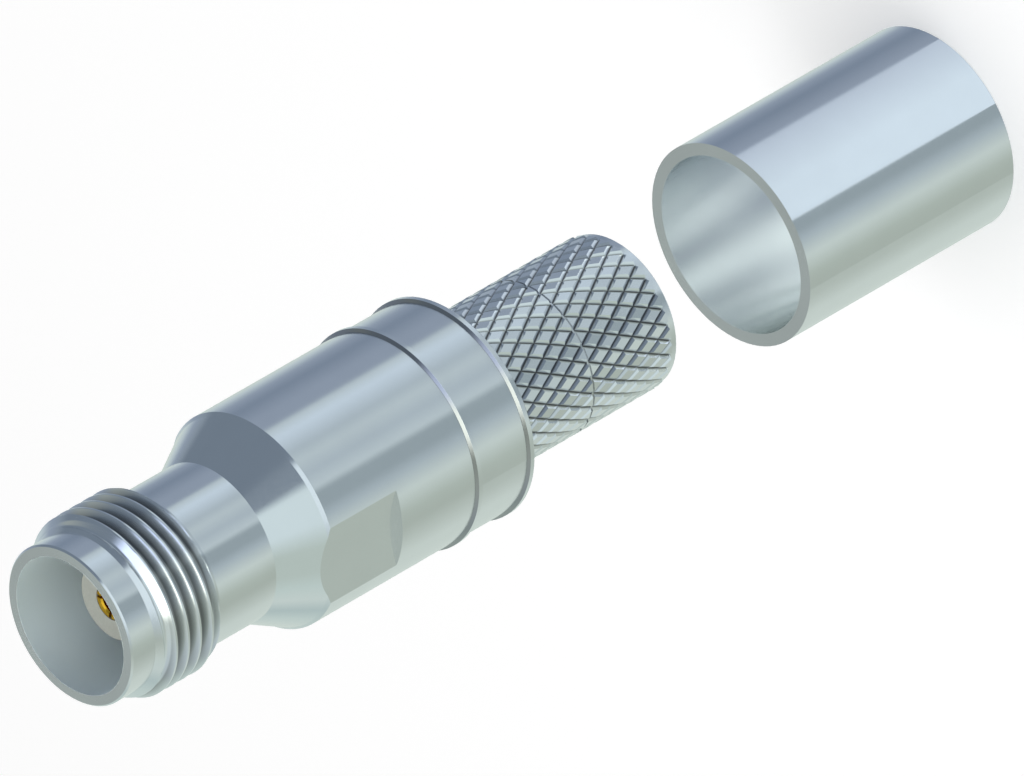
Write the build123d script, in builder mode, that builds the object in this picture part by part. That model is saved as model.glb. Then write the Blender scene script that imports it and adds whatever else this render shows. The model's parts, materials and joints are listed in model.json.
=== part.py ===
from build123d import *
from math import ceil, cos, pi, radians, sin, tan
import os

os.makedirs("parts", exist_ok=True)

# Straight crimp jack for a radio-frequency cable with a 7/16-28 UNEF coupling thread, and its loose
# crimp ferrule, laid out on one axis as they are put together.
# The axis is Z and the mating face looks up. The ferrule stands on z = 0 and the connector follows
# above it, stem first. A "depth" is measured down from the mating face.

# Coupling end, in millimetres
inch = 25.4
thread_major_radius = 7 / 16 * inch / 2
relief_radius = 4.825
lip_depth = 1.75
lip_edge_break = 0.1
thread_end_depth = 5.98
neck_depth = 10.97
cone_angle = 28
barrel_radius = 6.5
barrel_corner = 0.18

# Raised rings round the barrel
ring_rise = 0.18
ring_ramp = 0.12
ring_crest = 0.27
front_ring_depth = 24.60
ring_spacing = 3.99
flange_edge_break = 0.1

# Wrench flats
flats_across = 12.0
flats_depth = 19.0

# Bores of the shell
mouth_radius = 4.14
reference_depth = 8.4
bead_radius = 3.5
bead_depth = 15.0
seat_radius = 4.9

# Insulators
post_radius = 2.3
post_depth = 3.05
post_edge_break = 0.08
front_flange_thickness = 2.5
rear_insulator_thickness = 2.5

# Socket contact
contact_radius = 1.05
contact_edge_break = 0.04
pin_bore_radius = 0.68
pin_bore_length = 5.6
pin_lead_in = 0.1
slot_width = 0.2
slot_length = 4.6
slot_count = 4
collar_radius = 2.3
collar_thickness = 2.4
tail_radius = 1.9
tail_depth = 27.0
conductor_bore_radius = 1.2
conductor_bore_length = 7.0
sight_hole_radius = 0.4

# Crimp stem
stem_length = 42.15
dielectric_stop_depth = 27.2
stop_bore_radius = 3.3
cable_bore_radius = 3.7
cable_mouth_flare = 0.2
knurl_crest_radius = 4.73
knurl_groove = 0.17
knurl_starts = 30
knurl_angle = 30
knurl_land_share = 0.64
knurl_core_margin = 0.12
knurl_line_depth = 35.55
knurl_line_width = 0.12
stem_end_band = 0.55
band_radius = 4.62
band_edge_break = 0.1

# Crimp ferrule
ferrule_outer_radius = 6.14
ferrule_inner_radius = 5.39
ferrule_length = 16.0
ferrule_gap = 8.85

# Clearance of pressed and sliding pieces, on the radius
fit_gap = 0.02

# Places that follow from the sizes above
mating_face = ferrule_length + ferrule_gap + stem_length
ring_radius = barrel_radius + ring_rise
ring_length = ring_ramp + ring_crest
shell_depth = front_ring_depth + ring_length
rear_ring_depth = front_ring_depth + ring_spacing
flange_depth = rear_ring_depth + ring_length + flange_edge_break
cone_corner_radius = barrel_radius - barrel_corner
cone_depth = neck_depth + (cone_corner_radius - relief_radius) / tan(radians(cone_angle))
front_flange_depth = bead_depth + front_flange_thickness
spigot_depth = front_flange_depth + rear_insulator_thickness
collar_depth = front_flange_depth - collar_thickness / 2
collar_end_depth = front_flange_depth + collar_thickness / 2
contact_depth = post_depth


def height(depth):
    """Height above the floor of a place at this depth behind the mating face."""
    return mating_face - depth


def outline(*points):
    """Closed outline through points given as radius and depth."""
    return Polyline(*[(radius, height(depth)) for radius, depth in points], close=True)


# Turned shell: lip, thread land, neck, cone, barrel with the first raised ring
thread_rise = thread_major_radius - relief_radius
with BuildPart() as connector_body:
    with BuildSketch(Plane.XZ):
        with BuildLine():
            outline(
                (mouth_radius, 0),
                (relief_radius - lip_edge_break, 0),
                (relief_radius, lip_edge_break),
                (relief_radius, lip_depth),
                (thread_major_radius, lip_depth + thread_rise),
                (thread_major_radius, thread_end_depth),
                (relief_radius, thread_end_depth + thread_rise),
                (relief_radius, neck_depth),
                (cone_corner_radius, cone_depth),
                (barrel_radius, cone_depth + barrel_corner),
                (barrel_radius, front_ring_depth),
                (ring_radius, front_ring_depth + ring_ramp),
                (ring_radius, shell_depth),
                (seat_radius, shell_depth),
                (seat_radius, bead_depth),
                (bead_radius, bead_depth),
                (bead_radius, reference_depth),
                (mouth_radius, reference_depth),
            )
        make_face()
    revolve(axis=Axis.Z)
    # Two opposite wrench flats, open towards the cone
    with BuildSketch(Plane.XY.offset(height(flats_depth))):
        with PolarLocations(barrel_radius + flats_across / 2, 2):
            Rectangle(2 * barrel_radius, 2 * barrel_radius)
    extrude(until=Until.LAST, mode=Mode.SUBTRACT)
connector_body.part.label = "connector_body"
export_step(connector_body.part, "parts/connector_body.step")

# Front insulator: post in the mouth, bead, and a flange seated on the shell's step
with BuildPart() as front_insulator:
    with BuildSketch(Plane.XZ):
        with BuildLine():
            outline(
                (contact_radius + fit_gap, post_depth),
                (post_radius - post_edge_break, post_depth),
                (post_radius, post_depth + post_edge_break),
                (post_radius, reference_depth),
                (bead_radius - fit_gap, reference_depth),
                (bead_radius - fit_gap, bead_depth),
                (seat_radius - fit_gap, bead_depth),
                (seat_radius - fit_gap, front_flange_depth),
                (collar_radius + fit_gap, front_flange_depth),
                (collar_radius + fit_gap, collar_depth),
                (contact_radius + fit_gap, collar_depth),
            )
        make_face()
    revolve(axis=Axis.Z)
front_insulator.part.label = "front_insulator"
export_step(front_insulator.part, "parts/front_insulator.step")

# Rear insulator: washer that closes the contact's collar in
with BuildPart() as rear_insulator:
    with BuildSketch(Plane.XZ):
        with BuildLine():
            outline(
                (collar_radius + fit_gap, front_flange_depth),
                (seat_radius - fit_gap, front_flange_depth),
                (seat_radius - fit_gap, spigot_depth),
                (tail_radius + fit_gap, spigot_depth),
                (tail_radius + fit_gap, collar_end_depth),
                (collar_radius + fit_gap, collar_end_depth),
            )
        make_face()
    revolve(axis=Axis.Z)
rear_insulator.part.label = "rear_insulator"
export_step(rear_insulator.part, "parts/rear_insulator.step")

# Socket contact: slotted tines, captive collar, tail bored for the cable's conductor
with BuildPart() as centre_contact:
    with BuildSketch(Plane.XZ):
        with BuildLine():
            outline(
                (0, contact_depth + pin_bore_length),
                (pin_bore_radius, contact_depth + pin_bore_length),
                (pin_bore_radius, contact_depth + pin_lead_in),
                (pin_bore_radius + pin_lead_in, contact_depth),
                (contact_radius - contact_edge_break, contact_depth),
                (contact_radius, contact_depth + contact_edge_break),
                (contact_radius, collar_depth),
                (collar_radius, collar_depth),
                (collar_radius, collar_end_depth),
                (tail_radius, collar_end_depth),
                (tail_radius, tail_depth),
                (conductor_bore_radius, tail_depth),
                (conductor_bore_radius, tail_depth - conductor_bore_length),
                (0, tail_depth - conductor_bore_length),
            )
        make_face()
    revolve(axis=Axis.Z)
    # Slots that part the tines, each running across the whole socket
    with BuildSketch(Plane.XY.offset(height(contact_depth))):
        with PolarLocations(0, slot_count // 2, angular_range=180):
            Rectangle(4 * contact_radius, slot_width)
    extrude(amount=-slot_length, mode=Mode.SUBTRACT)
    # Sight hole at the bottom of the conductor's bore
    sight_height = height(tail_depth - conductor_bore_length + 2 * sight_hole_radius)
    with BuildSketch(Plane.YZ):
        with Locations((0, sight_height)):
            Circle(sight_hole_radius)
    extrude(amount=2 * tail_radius, mode=Mode.SUBTRACT)
centre_contact.part.label = "centre_contact"
export_step(centre_contact.part, "parts/centre_contact.step")


# Diamond knurl: V grooves at the same angle each way leave flat lands between them.
# Groove bottoms cross at nodes, half a land's pitch apart along the stem and round it.
node_radius = knurl_crest_radius - knurl_groove
node_step = pi / knurl_starts
half_row = pi * knurl_crest_radius / knurl_starts / tan(radians(knurl_angle))
land_length = knurl_land_share * half_row
node_sag = node_radius * (1 - cos(node_step))
land_width = (
    land_length * node_radius * sin(node_step) * knurl_groove
    / (node_sag * (half_row - land_length) + half_row * knurl_groove)
)


def knurl_node(column, row, start):
    """Crossing of two groove bottoms."""
    turn = column * node_step
    return Vector(node_radius * cos(turn), node_radius * sin(turn), start + row * half_row)


def land_corner(column, row, start, aside, along):
    """Corner of a land, given from the land's middle round the stem and along it."""
    turn = column * node_step
    x = knurl_crest_radius * cos(turn) - aside * sin(turn)
    y = knurl_crest_radius * sin(turn) + aside * cos(turn)
    return Vector(x, y, start + row * half_row + along)


def facet(*corners):
    """Flat face through the corners."""
    return Face(Wire.make_polygon(corners))


def knurled_section(start, rows, first_column):
    """Closed length of knurled bar; both ends cut the lands of their row through the middle."""
    facets = []
    for row in range(rows + 1):
        rim = []
        for column in range((row + first_column) % 2, 2 * knurl_starts, 2):
            left = land_corner(column, row, start, -land_width, 0)
            right = land_corner(column, row, start, land_width, 0)
            tips = []
            for way in (-1, 1):
                if 0 <= row + way <= rows:
                    tip = land_corner(column, row, start, 0, way * land_length)
                    tips.append(tip)
                    end_node = knurl_node(column, row + way, start)
                    facets.append(facet(left, tip, end_node, knurl_node(column - 1, row, start)))
                    facets.append(facet(right, tip, end_node, knurl_node(column + 1, row, start)))
            facets.append(facet(left, tips[0], right, *tips[1:]))
            rim += [left, right, knurl_node(column + 1, row, start)]
        if row in (0, rows):
            facets.append(facet(*rim))
    return Solid(Shell(facets))


# The line round the knurl parts it in two sections; the upper one starts inside the flange
line_low = height(knurl_line_depth + knurl_line_width / 2)
line_high = height(knurl_line_depth - knurl_line_width / 2)
band_start_depth = stem_length - stem_end_band
lower_rows = round((line_low - height(band_start_depth)) / half_row)
upper_rows = ceil((height(flange_depth) - line_high) / half_row)
knurl_low = line_low - lower_rows * half_row
lower_knurl = knurled_section(knurl_low, lower_rows, lower_rows + 1)
upper_knurl = knurled_section(line_high, upper_rows, 1)
core_radius = node_radius - knurl_core_margin

# Crimp stem: spigot pressed in the shell, flange barrel with the second ring, knurled tube
with BuildPart() as crimp_stem:
    with BuildSketch(Plane.XZ):
        with BuildLine():
            Polyline(
                (0, height(spigot_depth)),
                (seat_radius - fit_gap, height(spigot_depth)),
                (seat_radius - fit_gap, height(shell_depth)),
                (barrel_radius, height(shell_depth)),
                (barrel_radius, height(rear_ring_depth)),
                (ring_radius, height(rear_ring_depth + ring_ramp)),
                (ring_radius, height(rear_ring_depth + ring_length)),
                (ring_radius - flange_edge_break, height(flange_depth)),
                (core_radius, height(flange_depth)),
                (core_radius, line_high),
                (band_radius, line_high),
                (band_radius, line_low),
                (core_radius, line_low),
                (core_radius, knurl_low),
                (band_radius, knurl_low),
                (band_radius, height(stem_length - band_edge_break)),
                (band_radius - band_edge_break, height(stem_length)),
                (0, height(stem_length)),
                close=True,
            )
        make_face()
    revolve(axis=Axis.Z)
    add([upper_knurl, lower_knurl])
    # Bore for the cable's dielectric, with the shoulder it stops against
    with BuildSketch(Plane.XZ):
        with BuildLine():
            outline(
                (0, spigot_depth),
                (stop_bore_radius, spigot_depth),
                (stop_bore_radius, dielectric_stop_depth),
                (cable_bore_radius, dielectric_stop_depth),
                (cable_bore_radius, stem_length - cable_mouth_flare),
                (cable_bore_radius + cable_mouth_flare, stem_length),
                (0, stem_length),
            )
        make_face()
    revolve(axis=Axis.Z, mode=Mode.SUBTRACT)
crimp_stem.part.label = "crimp_stem"
export_step(crimp_stem.part, "parts/crimp_stem.step")

# Crimp ferrule: plain tube
with BuildPart() as crimp_ferrule:
    with BuildSketch(Plane.XY):
        Circle(ferrule_outer_radius)
        Circle(ferrule_inner_radius, mode=Mode.SUBTRACT)
    extrude(amount=ferrule_length)
crimp_ferrule.part.label = "crimp_ferrule"
export_step(crimp_ferrule.part, "parts/crimp_ferrule.step")
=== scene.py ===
import json
import math
from collections import namedtuple

import bmesh
import bpy
import numpy as np
from mathutils import Matrix, Vector


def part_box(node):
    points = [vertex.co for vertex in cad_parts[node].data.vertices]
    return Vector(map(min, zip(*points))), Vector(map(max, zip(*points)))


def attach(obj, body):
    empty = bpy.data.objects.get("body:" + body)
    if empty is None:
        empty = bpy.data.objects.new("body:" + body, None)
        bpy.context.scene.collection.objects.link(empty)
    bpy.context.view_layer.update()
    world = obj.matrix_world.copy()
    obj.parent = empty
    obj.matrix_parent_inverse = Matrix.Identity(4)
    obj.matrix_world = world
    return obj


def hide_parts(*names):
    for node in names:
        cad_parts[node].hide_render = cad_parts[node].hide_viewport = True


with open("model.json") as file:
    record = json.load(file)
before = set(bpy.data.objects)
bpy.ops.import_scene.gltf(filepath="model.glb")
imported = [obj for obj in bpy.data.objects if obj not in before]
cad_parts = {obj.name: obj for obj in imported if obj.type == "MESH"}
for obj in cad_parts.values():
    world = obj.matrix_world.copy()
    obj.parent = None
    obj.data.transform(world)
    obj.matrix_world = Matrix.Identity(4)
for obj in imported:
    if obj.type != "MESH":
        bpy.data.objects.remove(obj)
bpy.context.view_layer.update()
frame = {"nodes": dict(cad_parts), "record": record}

# Straight coaxial crimp jack with its loose ferrule, both upright on the Z axis, mating face up.
# Lengths are in millimetres unless a name or comment says otherwise. A depth is measured down from
# the mating face.
MM = 0.001
INCH = 25.4
nodes = frame["nodes"]
shell_low, shell_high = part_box("connector_body")
mating_face = shell_high.z / MM
shell_depth = (shell_high.z - shell_low.z) / MM

# Shell
mouth_radius = 4.14
relief_radius = 4.825
lip_edge_break = 0.1
lip_depth = 1.75
neck_depth = 10.97
cone_slope = math.tan(math.radians(28))
barrel_radius = 6.5
barrel_corner = 0.18
flat_distance = 6.0
flats_depth = 19.0
ring_radius = shell_high.x / MM
ring_ramp = 0.12
ring_crest = 0.27
ring_spacing = 3.99  # from the shell's raised ring to the stem's
reference_depth = 8.4
bead_radius = 3.5
bead_depth = 15.0
seat_radius = 4.9

# Coupling thread, 7/16-28 UNEF, right-hand
thread_major = 7 / 16 * INCH / 2
thread_pitch = INCH / 28
thread_height = 0.6134 * thread_pitch  # 17/24 of the sharp thread's height
thread_root = thread_major - thread_height
flank_slope = math.tan(math.radians(30))
crest_share = 1 / 8
root_rounding = 0.1
thread_rise = thread_major - relief_radius
thread_start_depth = lip_depth + thread_rise
thread_end_depth = 5.98

# Stem and ferrule, sizes that the painted shade in the knurl's grooves and the bore's finish follow
flange_depth = 29.08
stem_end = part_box("crimp_stem")[0].z / MM
stem_end_band = 0.55
knurl_crest_radius = 4.73
knurl_groove = 0.17
ferrule_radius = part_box("crimp_ferrule")[1].x / MM
ferrule_bore_radius = 5.39

# Fineness of the shell's mesh
columns = 320
rows_per_pitch = 40
merge_distance = 0.002
sliver_length = 0.0005


# Meshes
def linked_object(name, points, faces):
    """Object with a mesh of these points and faces, in the scene."""
    mesh = bpy.data.meshes.new(name)
    mesh.from_pydata([tuple(point) for point in points], [], faces)
    made = bpy.data.objects.new(name, mesh)
    bpy.context.scene.collection.objects.link(made)
    return made


def mesh_object(name, vertices, faces):
    """Object from points in millimetres, with doubled points merged and slivers taken out."""
    made = linked_object(name, vertices, faces)
    work = bmesh.new()
    work.from_mesh(made.data)
    bmesh.ops.remove_doubles(work, verts=work.verts, dist=merge_distance)
    bmesh.ops.dissolve_degenerate(work, edges=work.edges, dist=sliver_length)
    bmesh.ops.recalc_face_normals(work, faces=work.faces)
    bmesh.ops.scale(work, vec=(MM, MM, MM), verts=work.verts)
    work.to_mesh(made.data)
    work.free()
    return made


def thread_radius(along):
    """Radius of the endless thread at a place along it, where whole pitches are crest middles."""
    away = np.abs((along / thread_pitch + 0.5) % 1 - 0.5) * thread_pitch
    flank = thread_major - (away - crest_share * thread_pitch / 2) / flank_slope
    gap = np.clip(0.5 + (flank - thread_root) / (2 * root_rounding), 0, 1)
    rounded = thread_root + gap * (flank - thread_root) + root_rounding * gap * (1 - gap)
    return np.minimum(thread_major, rounded)


def turned_shell():
    """Shell as rows of points round the axis. Each row has its own depth and radius in every column."""
    # Columns round the axis, four of them moved onto the edges of the wrench flats
    flat_edge = math.acos(flat_distance / barrel_radius)
    turns = np.linspace(0, 2 * math.pi, columns, endpoint=False)
    for target in (flat_edge, math.pi - flat_edge, math.pi + flat_edge, 2 * math.pi - flat_edge):
        turns[np.argmin(np.abs(turns - target))] = target
    turns = np.append(turns, 2 * math.pi)
    smallest_cosine = 1e-6
    to_flat = flat_distance / np.maximum(np.abs(np.cos(turns)), smallest_cosine)
    same = np.ones_like(turns)

    # Lip, from the mouth's edge outwards and down to the thread's chamfer
    rows = [
        (mouth_radius * same, 0 * same),
        ((relief_radius - lip_edge_break) * same, 0 * same),
        (relief_radius * same, lip_edge_break * same),
        (relief_radius * same, lip_depth * same),
    ]

    # Thread, along rows that rise with the right-hand helix and stop at the feet of its two chamfers
    relief_depth = thread_end_depth + thread_rise
    step = thread_pitch / rows_per_pitch
    lead = thread_pitch * turns / (2 * math.pi)
    first = math.floor(lip_depth / step)
    last = math.ceil((relief_depth + thread_pitch) / step)
    for index in range(first, last + 1):
        depth = index * step - lead
        for kink in (thread_start_depth, thread_end_depth):
            depth = np.where(np.abs(depth - kink) < step / 2, kink, depth)
        depth = np.clip(depth, lip_depth, relief_depth)
        chamfers = relief_radius + np.minimum(depth - lip_depth, relief_depth - depth)
        envelope = np.minimum(thread_major, chamfers)
        rows.append((np.minimum(thread_radius(depth + lead), envelope), depth))

    # Neck, cone, corner of the barrel, and the flats that cone and corner run out into
    cone_top = barrel_radius - barrel_corner
    corner_depth = neck_depth + (cone_top - relief_radius) / cone_slope
    barrel_depth = corner_depth + barrel_corner
    flat_from_cone = neck_depth + (to_flat - relief_radius) / cone_slope
    flat_from_corner = np.minimum(corner_depth + (to_flat - cone_top), barrel_depth)
    flat_start = np.where(to_flat < cone_top, flat_from_cone, flat_from_corner)
    side = np.minimum(to_flat, barrel_radius)
    rows += [
        (relief_radius * same, neck_depth * same),
        (np.minimum(side, cone_top), np.minimum(flat_start, corner_depth)),
        (side, flat_start),
        (side, flats_depth * same),
        (barrel_radius * same, flats_depth * same),
    ]

    # First raised ring, then the bores from the rear to the mouth
    for radius, depth in (
        (barrel_radius, shell_depth - ring_crest - ring_ramp),
        (ring_radius, shell_depth - ring_crest),
        (ring_radius, shell_depth),
        (seat_radius, shell_depth),
        (seat_radius, bead_depth),
        (bead_radius, bead_depth),
        (bead_radius, reference_depth),
        (mouth_radius, reference_depth),
        (mouth_radius, 0),
    ):
        rows.append((radius * same, depth * same))

    vertices = []
    for radius, depth in rows:
        vertices += zip(radius * np.cos(turns), radius * np.sin(turns), mating_face - depth)
    width = len(turns)
    faces = []
    for row in range(len(rows) - 1):
        for column in range(width - 1):
            a = row * width + column
            b, c, d = a + 1, a + width + 1, a + width
            # The diagonal goes from row to row with the turn, so that a snapped kink stays whole
            faces += [(a, b, c), (a, c, d)]
    return mesh_object("shell", vertices, faces)


def smooth_by_angle(obj, angle=15):
    """Smooth shading, with edges left sharp from this angle in degrees."""
    obj.data.shade_smooth()
    obj.data.set_sharp_from_angle(angle=math.radians(angle))


# Nodes
class Nodes:
    """Short way to write a tree of nodes."""

    def __init__(self, tree):
        self.tree = tree

    def node(self, kind, **settings):
        made = self.tree.nodes.new(kind)
        for key, value in settings.items():
            setattr(made, key, value)
        return made

    def link(self, source, target):
        self.tree.links.new(source, target)

    def math(self, operation, *values):
        """Result of a Math node. Each value is a socket or a number."""
        made = self.node("ShaderNodeMath", operation=operation)
        for socket, value in zip(made.inputs, values):
            if isinstance(value, (int, float)):
                socket.default_value = value
            else:
                self.link(value, socket)
        return made.outputs[0]

    def product(self, first, second):
        return self.math("MULTIPLY", first, second)

    def ramp(self, value, low, high, start=0.0, end=1.0):
        """Runs from start, where the value is low, to end, where it is high, and stays there."""
        made = self.node("ShaderNodeMapRange")
        self.link(value, made.inputs["Value"])
        for socket, limit in (("From Min", low), ("From Max", high), ("To Min", start), ("To Max", end)):
            made.inputs[socket].default_value = limit
        return made.outputs["Result"]

    def mix(self, share, first, second):
        """Goes with the share from the first colour to the second. Each is a socket or red, green, blue."""
        made = self.node("ShaderNodeMix", data_type="RGBA")
        self.link(share, made.inputs["Factor"])
        for socket, colour in (("A", first), ("B", second)):
            if isinstance(colour, tuple):
                made.inputs[socket].default_value = (*colour, 1)
            else:
                self.link(colour, made.inputs[socket])
        return made.outputs["Result"]

    def compass_colours(self, share, stops):
        """Colours round the compass. A stop is an angle in degrees from +X, from -180 on, and a tone."""
        made = self.node("ShaderNodeValToRGB")
        elements = made.color_ramp.elements
        while len(elements) > 1:
            elements.remove(elements[-1])
        for index, (angle, tone) in enumerate(stops):
            place = angle / 360 + 0.5
            element = elements[0] if index == 0 else elements.new(place)
            element.position = place
            element.color = (*tone, 1)
        self.link(share, made.inputs["Fac"])
        return made.outputs["Color"]


# Materials

# A shaded recess is a groove or corner whose tone is painted darker, as painted shade. From its inner
# radius out the painted shade is full up to the bottom's radius and gone at the crest's. It lies between
# two heights and fades out inside them. A bore has a finish of its own, without marks of the tool.
ShadedRecess = namedtuple("ShadedRecess", "inner bottom crest low high fade darkness")
Bore = namedtuple("Bore", "radius roughness colour")
plate_grey = 0.8  # share of the light that clean plate returns

# Margins of the painted shade in recesses, and of bores
inner_margin = 0.1
groove_fade = 0.05
land_margin = 0.08
fine_step = 0.01


def tinted(colour, factor):
    return tuple(min(1.0, part * factor) for part in colour)


class Shader(Nodes):
    """Nodes of a material, round its Principled shader."""

    noise_low, noise_high = 0.3, 0.7  # nearly all values of a noise lie between these

    def __init__(self, name):
        self.material = bpy.data.materials.new(name)
        self.material.use_nodes = True
        super().__init__(self.material.node_tree)
        self.surface = self.tree.nodes["Principled BSDF"]

    def drive(self, socket, source):
        """Links the source to one of the Principled shader's sockets."""
        self.link(source, self.surface.inputs[socket])

    def place(self):
        """Place on the object, in millimetres."""
        where = self.node("ShaderNodeTexCoord")
        scale = self.node("ShaderNodeVectorMath", operation="SCALE")
        scale.inputs["Scale"].default_value = 1 / MM
        self.link(where.outputs["Object"], scale.inputs[0])
        return scale.outputs["Vector"]

    def stretched(self, vector, factors):
        made = self.node("ShaderNodeVectorMath", operation="MULTIPLY")
        self.link(vector, made.inputs[0])
        made.inputs[1].default_value = factors
        return made.outputs["Vector"]

    def radius(self, place):
        """Distance from the axis, in millimetres."""
        length = self.node("ShaderNodeVectorMath", operation="LENGTH")
        self.link(self.stretched(place, (1, 1, 0)), length.inputs[0])
        return length.outputs["Value"]

    def noise(self, vector, scale, detail=2.0):
        """Noise with about this many features to the millimetre."""
        made = self.node("ShaderNodeTexNoise")
        made.inputs["Scale"].default_value = scale
        made.inputs["Detail"].default_value = detail
        self.link(vector, made.inputs["Vector"])
        return made.outputs["Fac"]

    def varied(self, noise, low, high):
        """A value that the noise moves from low to high."""
        return self.ramp(noise, self.noise_low, self.noise_high, low, high)

    def bump(self, height, depth, under=None):
        """Relief of this depth in millimetres, over the relief under it."""
        made = self.node("ShaderNodeBump")
        made.inputs["Strength"].default_value = 1.0
        made.inputs["Distance"].default_value = depth * MM
        self.link(height, made.inputs["Height"])
        if under is not None:
            self.link(under, made.inputs["Normal"])
        return made.outputs["Normal"]

    def turned_surface(self, amount):
        """Gloss drawn out across the marks that a lathe leaves round the axis."""
        quarter_turn = 0.25
        marks = self.node("ShaderNodeTangent", direction_type="RADIAL", axis="Z")
        self.drive("Tangent", marks.outputs["Tangent"])
        self.surface.inputs["Anisotropic"].default_value = amount
        self.surface.inputs["Anisotropic Rotation"].default_value = quarter_turn

    def with_painted_shade(self, tone, place, shaded_recess):
        """The tone, with painted shade: darker inside the recess."""
        split = self.node("ShaderNodeSeparateXYZ")
        self.link(place, split.inputs[0])
        radius, height = self.radius(place), split.outputs["Z"]
        depth = self.product(
            self.ramp(radius, shaded_recess.crest, shaded_recess.bottom),
            self.ramp(radius, shaded_recess.inner, shaded_recess.inner + inner_margin / 2),
        )
        inside = self.product(
            self.ramp(height, shaded_recess.low, shaded_recess.low + shaded_recess.fade),
            self.ramp(height, shaded_recess.high, shaded_recess.high - shaded_recess.fade),
        )
        # Painted shade: the tone goes toward a dark grey with depth in the recess
        return self.mix(self.product(depth, inside), tone, (plate_grey * shaded_recess.darkness,) * 3)


def plated_metal(name, colour, roughness, shaded_recesses=(), bore=None, turned=0.8):
    """Satin plate over turned metal: cloudy tone, fine rings left by the tool, a fine grain, and painted shade
    in the given recesses.
    """
    clouds_per_mm, grains_per_mm, rings_per_mm = 0.45, 14.0, 9.0
    change_round_a_ring = 0.02
    darkest, lightest = 0.965, 1.02
    smoother, rougher = 0.02, 0.03
    ring_relief, grain_relief = 0.0002, 0.0001

    shader = Shader(name)
    place = shader.place()
    along_rings = shader.stretched(place, (change_round_a_ring, change_round_a_ring, rings_per_mm))
    clouds = shader.noise(place, clouds_per_mm, detail=3.0)
    grain = shader.noise(place, grains_per_mm)
    rings = shader.noise(along_rings, 1.0, detail=3.0)
    tone = shader.mix(clouds, tinted(colour, darkest), tinted(colour, lightest))
    # Painted shade in each recess given
    for shaded_recess in shaded_recesses:
        tone = shader.with_painted_shade(tone, place, shaded_recess)
    rough = shader.varied(grain, roughness - smoother, roughness + rougher)
    if bore is not None:
        inside = shader.ramp(shader.radius(place), bore.radius + 3 * fine_step, bore.radius + fine_step)
        outside = shader.math("SUBTRACT", 1.0, inside)
        rough = shader.math("MULTIPLY_ADD", inside, bore.roughness - roughness, rough)
        grain, rings = shader.product(grain, outside), shader.product(rings, outside)
        tone = shader.mix(inside, tone, bore.colour)
    shader.drive("Base Color", tone)
    shader.drive("Roughness", rough)
    shader.drive("Normal", shader.bump(grain, grain_relief, shader.bump(rings, ring_relief)))
    shader.surface.inputs["Metallic"].default_value = 1.0
    shader.turned_surface(turned)
    return shader.material


def fluoropolymer(name, colour):
    """Waxy plastic with a fine mottle."""
    mottles_per_mm, marks_per_mm = 7.0, 22.0
    darkest, lightest = 0.84, 1.12
    smoothest, roughest = 0.42, 0.52
    mark_relief = 0.004

    shader = Shader(name)
    place = shader.place()
    mottle = shader.noise(place, mottles_per_mm, detail=4.0)
    marks = shader.noise(place, marks_per_mm)
    shader.drive("Base Color", shader.mix(mottle, tinted(colour, darkest), tinted(colour, lightest)))
    shader.drive("Roughness", shader.varied(mottle, smoothest, roughest))
    shader.drive("Normal", shader.bump(marks, mark_relief))
    shader.surface.inputs["IOR"].default_value = 1.38
    return shader.material


def groove_painted_shade(bottom, crest, low, high, darkness):
    """Painted shade in the grooves of the thread or the knurl, between two heights."""
    return ShadedRecess(bottom - inner_margin, bottom, crest, low, high, groove_fade, darkness)


def ring_painted_shade(foot_depth):
    """Painted shade in the corner at a raised ring's foot and on the ramp from there to its crest, which
    darkens the ramp's highlight.
    """
    foot = mating_face - foot_depth
    return ShadedRecess(
        inner=barrel_radius - inner_margin,
        bottom=ring_radius - fine_step,
        crest=ring_radius + 2 * fine_step,
        low=foot - ring_ramp - fine_step,
        high=foot + 3 * fine_step,
        fade=2 * fine_step,
        darkness=0.48,
    )


# Painted shade in the thread's roots, darker toward the root
thread_painted_shade = groove_painted_shade(
    bottom=thread_root,
    crest=thread_major,
    low=mating_face - thread_end_depth,
    high=mating_face - thread_start_depth,
    darkness=0.35,
)
# Painted shade in the knurl's grooves, darker toward their bottoms
knurl_painted_shade = groove_painted_shade(
    bottom=knurl_crest_radius - knurl_groove,
    crest=knurl_crest_radius - land_margin,
    low=stem_end + stem_end_band,
    high=mating_face - flange_depth,
    darkness=0.25,
)
first_ring_depth = shell_depth - ring_crest - ring_ramp
second_ring_depth = first_ring_depth + ring_spacing
mouth_bore = Bore(mouth_radius, 0.95, (0.90, 0.92, 0.92))
ferrule_bore = Bore(ferrule_bore_radius, 0.19, (0.86, 0.88, 0.88))

plate = (0.80, 0.81, 0.82)
gold = (0.95, 0.52, 0.04)
warm_grey = (0.355, 0.365, 0.325)
# Painted shade in the shell's thread and ring corner, and in the stem's knurl and ring corner
shell_painted_shades = (thread_painted_shade, ring_painted_shade(first_ring_depth))
stem_painted_shades = (knurl_painted_shade, ring_painted_shade(second_ring_depth))
looks = {
    "shell_plate": plated_metal("shell_plate", plate, 0.15, shell_painted_shades, mouth_bore),
    "stem_plate": plated_metal("stem_plate", plate, 0.16, stem_painted_shades),
    "ferrule_plate": plated_metal("ferrule_plate", plate, 0.15, bore=ferrule_bore),
    "gold_contact": plated_metal("gold_contact", gold, 0.2, turned=0.0),
    "insulator": fluoropolymer("insulator", warm_grey),
}

# Pieces
for part in frame["record"]["subparts"]:
    piece = nodes[part["node"]]
    piece.data.materials.clear()
    piece.data.materials.append(looks[part["material_slot"]])

shell = turned_shell()
smooth_by_angle(shell)
shell.data.materials.append(looks["shell_plate"])
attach(shell, "connector")
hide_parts("connector_body")


# Tones of the studio
screen_gamma = 2.2


def screen(red, green, blue):
    """Linear tone that shows as this colour on a screen when the plate mirrors it."""
    return tuple((value / 255) ** screen_gamma / plate_grey for value in (red, green, blue))


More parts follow.
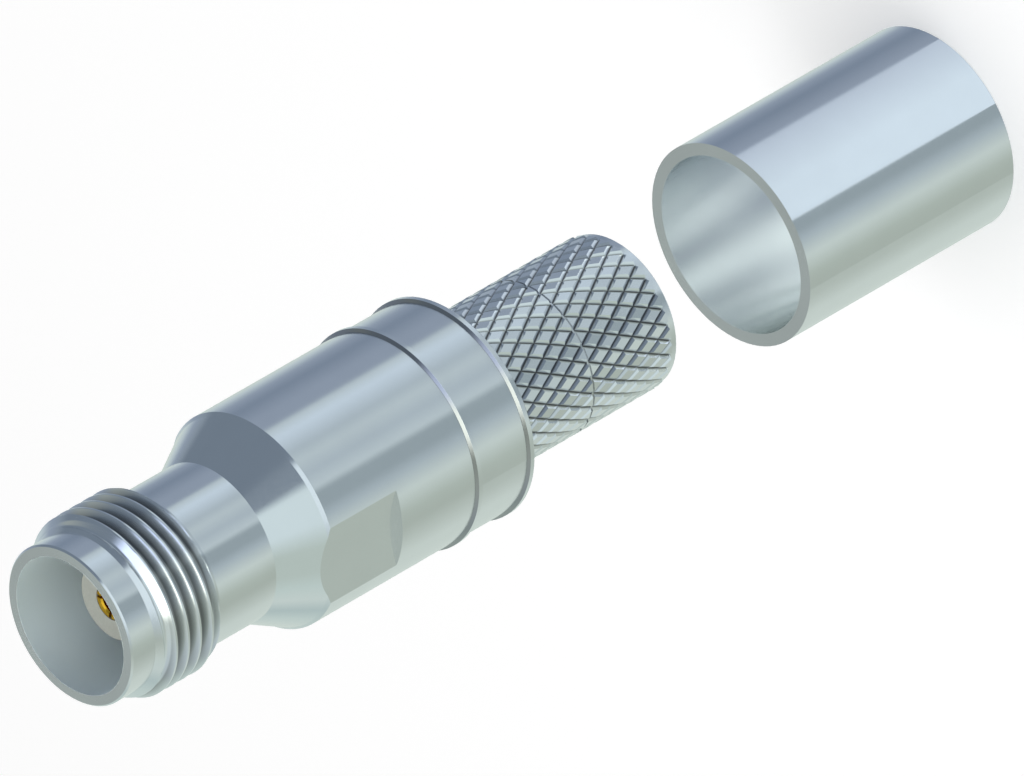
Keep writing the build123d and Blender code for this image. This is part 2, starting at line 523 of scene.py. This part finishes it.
white = (1, 1, 1)
pale = screen(190, 201, 195)
soft_green = screen(161, 171, 163)
light = screen(190, 202, 198)
mist = screen(178, 191, 196)
sage = screen(174, 187, 181)
moss = screen(166, 177, 169)
dusk = screen(158, 171, 178)
pearl = screen(182, 197, 193)
drift = screen(168, 184, 183)
haze = screen(165, 178, 186)
bright = screen(192, 207, 219)
bright_level = screen(197, 212, 215)
bright_high = screen(204, 218, 225)
face_grey = screen(148, 156, 154)
steel = screen(139, 152, 158)
slate_edge = screen(136, 148, 164)
slate_turn = screen(128, 140, 152)
slate = screen(116, 129, 146)
deep_slate = screen(108, 120, 133)
card_edge = screen(180, 192, 207)
card_tone = screen(207, 222, 233)
lamp_bright = (2.8, 3.0, 2.75)
lamp_pale = (2.2, 2.4, 2.25)
lamp_cool = (1.2, 1.4, 1.85)
bore_pale = (1.28, 1.4, 1.4)
bore_dark = (0.16, 0.2, 0.28)

# Four rings of panels, which only reflections see: low down, level, high up and straight above. Each
# goes by the angle in degrees from +X: it starts at -X and passes -Y, +X and +Y on its way back there.
low_panels = (
    (-180, slate_edge), (-164, mist), (-148, pale), (-78, pale), (-40, soft_green), (-26, moss),
    (-6, light), (14, dusk), (24, steel), (37, steel), (43, mist), (58, haze), (73, mist), (84, haze),
    (105, bright), (117, mist), (120, slate_edge), (136, slate_edge), (160, slate), (180, slate_edge),
)
level_panels = (
    (-180, slate_turn), (-170, slate_edge), (-158, mist), (-135, light), (-98, pearl), (-83, drift),
    (-68, light), (-52, pearl), (-36, sage), (-10, sage), (12, bright_level), (45, bright_level),
    (54, deep_slate), (172, deep_slate), (180, slate_turn),
)
high_panels = (
    (-180, face_grey), (-110, face_grey), (-80, mist), (-60, pale), (-35, soft_green), (-12, mist),
    (6, bright_high), (75, bright_high), (83, deep_slate), (165, deep_slate), (180, face_grey),
)
top_panels = (
    (-180, lamp_cool), (-140, lamp_bright), (-35, lamp_bright), (30, lamp_pale), (80, lamp_cool),
    (180, lamp_cool),
)

# Elevations in degrees between which each ring gives way to the next
low_to_level = (-26, -16)
level_to_high = (24, 32)
high_to_top = (64, 72)


# Studio, its lengths in metres
camera_azimuth = 45
matt_level = 0.16
floor_grey = 0.86
floor_glow = 0.3
floor_half = 3.0
floor_drop = 0.00002
card_lift = 0.00001
card_reach = 0.03


def studio_world():
    """World: white to the camera, also through clear pieces, plain to matt surfaces, panels to reflections."""
    world = bpy.data.worlds.new("studio")
    bpy.context.scene.world = world
    world.use_nodes = True
    world.cycles.sampling_method = "NONE"
    world.node_tree.nodes.clear()
    sky = Nodes(world.node_tree)

    split = sky.node("ShaderNodeSeparateXYZ")
    sky.link(sky.node("ShaderNodeTexCoord").outputs["Generated"], split.inputs[0])
    azimuth = sky.math("ARCTAN2", split.outputs["Y"], split.outputs["X"])
    share = sky.math("ADD", sky.math("DIVIDE", azimuth, 2 * math.pi), 0.5)
    elevation = sky.math("ARCSINE", split.outputs["Z"])

    panels = sky.compass_colours(share, low_panels)
    for ring, limits in (
        (level_panels, low_to_level),
        (high_panels, level_to_high),
        (top_panels, high_to_top),
    ):
        start, end = (math.radians(limit) for limit in limits)
        panels = sky.mix(sky.ramp(elevation, start, end), panels, sky.compass_colours(share, ring))

    rays = sky.node("ShaderNodeLightPath")
    direct = sky.math("MAXIMUM", rays.outputs["Is Camera Ray"], rays.outputs["Is Transmission Ray"])
    lit = sky.mix(rays.outputs["Is Glossy Ray"], (matt_level,) * 3, panels)
    seen = sky.mix(direct, lit, white)
    background = sky.node("ShaderNodeBackground")
    output = sky.node("ShaderNodeOutputWorld")
    sky.link(seen, background.inputs["Color"])
    sky.link(background.outputs["Background"], output.inputs["Surface"])


def stage_object(name, points, faces):
    """Object of the studio, its material's still empty tree, and the socket that its surface goes to."""
    made = linked_object(name, points, faces)
    material = bpy.data.materials.new(name)
    material.use_nodes = True
    material.node_tree.nodes.clear()
    made.data.materials.append(material)
    coat = Nodes(material.node_tree)
    return made, coat, coat.node("ShaderNodeOutputMaterial").inputs["Surface"]


def floor():
    """Pale floor under the ferrule's end, which keeps the shadow. Reflections leave it out."""
    corners = ((-1, -1), (1, -1), (1, 1), (-1, 1))
    points = [(x * floor_half, y * floor_half, -floor_drop) for x, y in corners]
    made, coat, surface = stage_object("floor", points, [(0, 1, 2, 3)])
    made.visible_glossy = False
    matt = coat.node("ShaderNodeBsdfDiffuse")
    matt.inputs["Color"].default_value = (floor_grey, floor_grey, floor_grey, 1)
    glow = coat.node("ShaderNodeEmission")
    glow.inputs["Color"].default_value = (*white, 1)
    rays = coat.node("ShaderNodeLightPath")
    coat.link(coat.product(rays.outputs["Is Camera Ray"], floor_glow), glow.inputs["Strength"])
    both = coat.node("ShaderNodeAddShader")
    coat.link(matt.outputs["BSDF"], both.inputs[0])
    coat.link(glow.outputs["Emission"], both.inputs[1])
    coat.link(both.outputs["Shader"], surface)


def card(name, points, faces, tones):
    """Studio card that only reflections see. Each point has its own tone."""
    made, coat, surface = stage_object(name, points, faces)
    made.visible_camera = made.visible_diffuse = made.visible_shadow = made.visible_transmission = False
    layer = made.data.color_attributes.new("tone", "FLOAT_COLOR", "POINT")
    for corner, tone in zip(layer.data, tones):
        corner.color = (*tone, 1)
    glow = coat.node("ShaderNodeEmission")
    coat.link(coat.node("ShaderNodeAttribute", attribute_name="tone").outputs["Color"], glow.inputs["Color"])
    coat.link(glow.outputs["Emission"], surface)


def between(first, second, share):
    """Tone at this share of the way from the first to the second."""
    return [low + share * (high - low) for low, high in zip(first, second)]


def bore_card():
    """Round card on the floor inside the ferrule, for its bore to mirror. It has two dark sectors, at
    +X and -X, and two pale ones between them."""
    share_of_bore = 0.92
    sides = 72
    dark_sectors = 2
    radius = share_of_bore * ferrule_bore_radius * MM
    rim, tones = [], []
    for turn in np.linspace(0, 2 * math.pi, sides, endpoint=False):
        rim.append(Vector((radius * math.cos(turn), radius * math.sin(turn), card_lift)))
        tones.append(between(bore_dark, bore_pale, 0.5 - 0.5 * math.cos(dark_sectors * turn)))
    hub = Vector((0, 0, card_lift))
    faces = [(side, (side + 1) % sides, sides) for side in range(sides)]
    card("bore_card", rim + [hub], faces, tones + [between(bore_dark, bore_pale, 0.5)])


def floor_card():
    """Bright card on the floor beside the ferrule. Its sides run the way the metal sends the camera's
    rays, so that it brightens one even stripe of the ferrule and nothing else."""
    steps = 15
    first_turn, full_turn, last_turn = 40, 58, 87
    rim, far, tones = [], [], []
    for turn in np.linspace(first_turn, last_turn, steps + 1):
        out, sent = math.radians(turn), math.radians(2 * turn - camera_azimuth)
        near = Vector((math.cos(out), math.sin(out), 0)) * ferrule_radius * MM
        near.z = card_lift
        rim.append(near)
        far.append(near + card_reach * Vector((math.cos(sent), math.sin(sent), 0)))
        fading = (last_turn - turn) / (last_turn - full_turn)
        tones.append(between(card_edge, card_tone, min(1.0, fading)))
    faces = [(i, i + 1, steps + 2 + i, steps + 1 + i) for i in range(steps)]
    card("floor_card", rim + far, faces, tones + tones)


def soft_lamp(name, place, aim, size, irradiance):
    """Large square lamp that reflections leave out, in metres. Irradiance is what it brings to the aimed
    point, where 1 shows white as white."""
    data = bpy.data.lights.new(name, "AREA")
    data.shape = "SQUARE"
    data.size = size
    away = Vector(place) - aim
    data.energy = irradiance * math.pi ** 2 * away.length ** 2
    made = bpy.data.objects.new(name, data)
    made.location = place
    made.rotation_euler = away.to_track_quat("Z", "Y").to_euler()
    made.visible_glossy = False
    bpy.context.scene.collection.objects.link(made)


studio_world()
floor()
floor_card()
bore_card()
middle = Vector((0, 0, mating_face * MM / 2))
soft_lamp("overhead", place=(0, 0, 0.6), aim=middle, size=0.15, irradiance=0.65)
soft_lamp("key", place=(0.32, -0.14, 0.45), aim=middle, size=0.25, irradiance=0.15)

# Camera: a long lens that looks along the drawing's isometric direction, the part's axis leaning.
# A much longer one leaves the other views empty, because they clip at 100 times the part's radius.
view_width = 55.57
view_centre = Vector((11.69, 10.56, 44.77))
lens, sensor = 1200.0, 36.0
upright = Vector((0, 1, 0))
toward = Vector((1, 1, 1)).normalized()
up = (upright - upright.dot(toward) * toward).normalized()
right = up.cross(toward)
camera_data = bpy.data.cameras.new("camera")
camera_data.lens = lens
camera_data.sensor_width = sensor
camera_data.clip_start = 0.1
camera_data.clip_end = 100.0
camera = bpy.data.objects.new("camera", camera_data)
distance = view_width * lens / sensor
rotation = Matrix((right, up, toward)).transposed().to_4x4()
camera.matrix_world = Matrix.Translation((view_centre + toward * distance) * MM) @ rotation
bpy.context.scene.collection.objects.link(camera)
bpy.context.scene.camera = camera
bpy.context.scene.view_settings.view_transform = "Standard"
# Enough bounces for light that goes from wall to wall inside the bores
bpy.context.scene.cycles.glossy_bounces = 16
bpy.context.scene.cycles.max_bounces = 20

bpy.context.view_layer.update()
